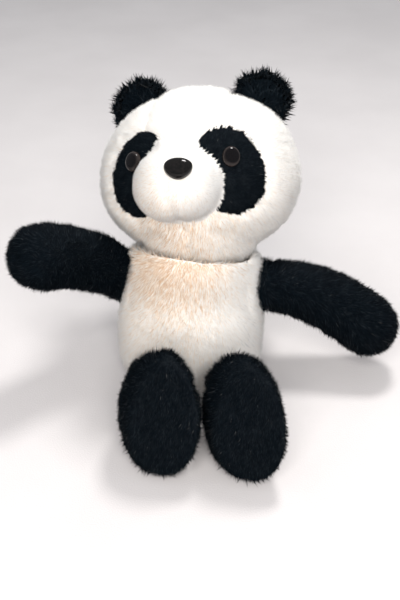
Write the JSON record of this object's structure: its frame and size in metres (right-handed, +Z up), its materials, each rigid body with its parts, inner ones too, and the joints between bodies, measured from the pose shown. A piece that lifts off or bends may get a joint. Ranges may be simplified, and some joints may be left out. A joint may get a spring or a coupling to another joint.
{
  "type": "plush panda",
  "caption": "Sitting soft toy panda: sewn black and white plush panels over loose fibre stuffing, plastic eyes and nose, limbs and head that bend at their sewn joints.",
  "frame": {"origin": "middle of the flat seat under the torso, in the plane that the panda sits on", "axes": "+Z up, the panda faces -Y, its left side is +X"},
  "size_m": [0.2743, 0.2357, 0.2045],
  "materials": {
    "white_long_plush": "matte",
    "black_long_plush": "matte",
    "white_short_plush": "matte",
    "black_short_plush": "matte",
    "stuffing": "matte",
    "thread": "satin",
    "eye_plastic": "gloss",
    "nose_plastic": "gloss",
    "washer": "matte"
  },
  "bodies": {
    "torso": {"closing_stitches": "thread", "torso_back_left": "white_long_plush", "torso_back_right": "white_long_plush", "torso_front": "white_long_plush", "torso_stuffing": "stuffing"},
    "neck": {"neck_stuffing": "stuffing"},
    "head": {"eye_left": "eye_plastic", "eye_patch_left": "black_short_plush", "eye_patch_right": "black_short_plush", "eye_right": "eye_plastic", "eye_washer_left": "washer", "eye_washer_right": "washer", "head_back_left": "white_long_plush", "head_back_right": "white_long_plush", "head_crown": "white_long_plush", "head_side_left": "white_long_plush", "head_side_right": "white_long_plush", "head_stuffing": "stuffing", "muzzle_left": "white_short_plush", "muzzle_right": "white_short_plush", "muzzle_stuffing": "stuffing", "nose": "nose_plastic", "nose_washer": "washer"},
    "ear_left": {"ear_back_left": "black_long_plush", "ear_front_left": "black_long_plush"},
    "ear_right": {"ear_back_right": "black_long_plush", "ear_front_right": "black_long_plush"},
    "arm_left": {"arm_back_left": "black_long_plush", "arm_front_left": "black_long_plush", "arm_stuffing_left": "stuffing"},
    "arm_right": {"arm_back_right": "black_long_plush", "arm_front_right": "black_long_plush", "arm_stuffing_right": "stuffing"},
    "leg_left": {"leg_inner_left": "black_long_plush", "leg_outer_left": "black_long_plush", "leg_stuffing_left": "stuffing", "sole_left": "black_long_plush"},
    "leg_right": {"leg_inner_right": "black_long_plush", "leg_outer_right": "black_long_plush", "leg_stuffing_right": "stuffing", "sole_right": "black_long_plush"}
  },
  "joints": [
    {"name": "neck_turn", "type": "hinge", "parent": "torso", "child": "neck", "pos_m": [0.0045, 0.0377, 0.11603], "axis": [0, 0.309, 0.9511], "range_deg": [-25, 25]},
    {"name": "neck_nod", "type": "hinge", "parent": "neck", "child": "head", "pos_m": [0.0045, 0.0377, 0.11603], "axis": [0.9877, -0.1488, 0.0483], "range_deg": [-8, 12]},
    {"name": "ear_bend_left", "type": "hinge", "parent": "head", "child": "ear_left", "pos_m": [0.03936, 0.07927, 0.17888], "axis": [0.8049, -0.4028, -0.4357], "range_deg": [-25, 25], "stiffness_Nm_per_rad": 0.02},
    {"name": "ear_bend_right", "type": "hinge", "parent": "head", "child": "ear_right", "pos_m": [-0.03892, 0.08647, 0.1673], "axis": [0.7044, 0.2639, 0.6589], "range_deg": [-25, 25], "stiffness_Nm_per_rad": 0.02},
    {"name": "arm_sweep_left", "type": "hinge", "parent": "torso", "child": "arm_left", "pos_m": [0.05, 0.02448, 0.06565], "axis": [0, -0.309, -0.9511], "range_deg": [-20, 50]},
    {"name": "arm_sweep_right", "type": "hinge", "parent": "torso", "child": "arm_right", "pos_m": [-0.05, 0.02448, 0.06565], "axis": [0, 0.309, 0.9511], "range_deg": [-40, 4]},
    {"name": "leg_swing_left", "type": "hinge", "parent": "torso", "child": "leg_left", "pos_m": [0.027, -0.032, 0.02], "axis": [-1, 0, 0], "range_deg": [-20, 30]},
    {"name": "leg_swing_right", "type": "hinge", "parent": "torso", "child": "leg_right", "pos_m": [-0.027, -0.032, 0.02], "axis": [-1, 0, 0], "range_deg": [-20, 30]}
  ]
}
